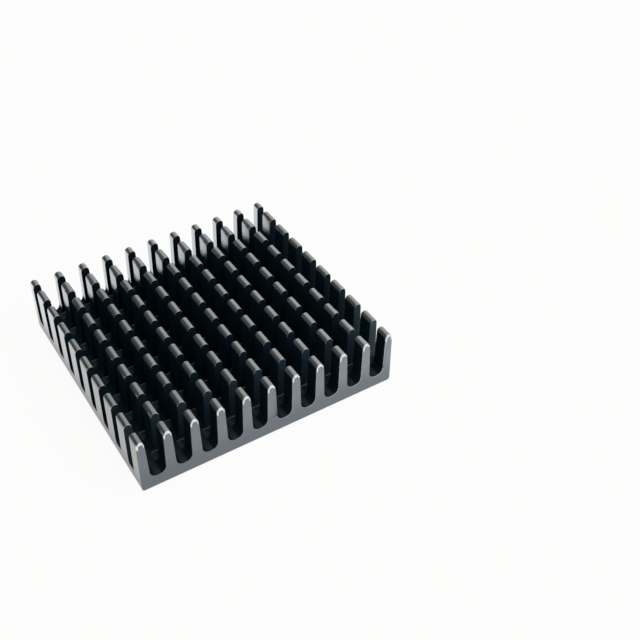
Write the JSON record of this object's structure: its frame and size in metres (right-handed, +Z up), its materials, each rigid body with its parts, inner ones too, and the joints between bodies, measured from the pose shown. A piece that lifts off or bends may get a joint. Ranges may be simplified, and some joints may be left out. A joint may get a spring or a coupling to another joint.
{
  "type": "pin fin heat sink",
  "caption": "Square pin fin heat sink: one thick base with rows of flat, round-tipped pins, sawn from a black anodised aluminium extrusion.",
  "frame": {"origin": "centre of the flat underside, which is the face that lies on the hot chip", "axes": "+Z up along the pins, +Y along the extruded fins towards the end with the short last row of pins, +X across the fins"},
  "size_m": [0.04, 0.0384, 0.009],
  "materials": {
    "anodised_aluminium": "black anodised, satin, with paler deburred edges on the sawn faces"
  },
  "bodies": {
    "root": {"heat_sink": "anodised_aluminium"}
  },
  "joints": []
}
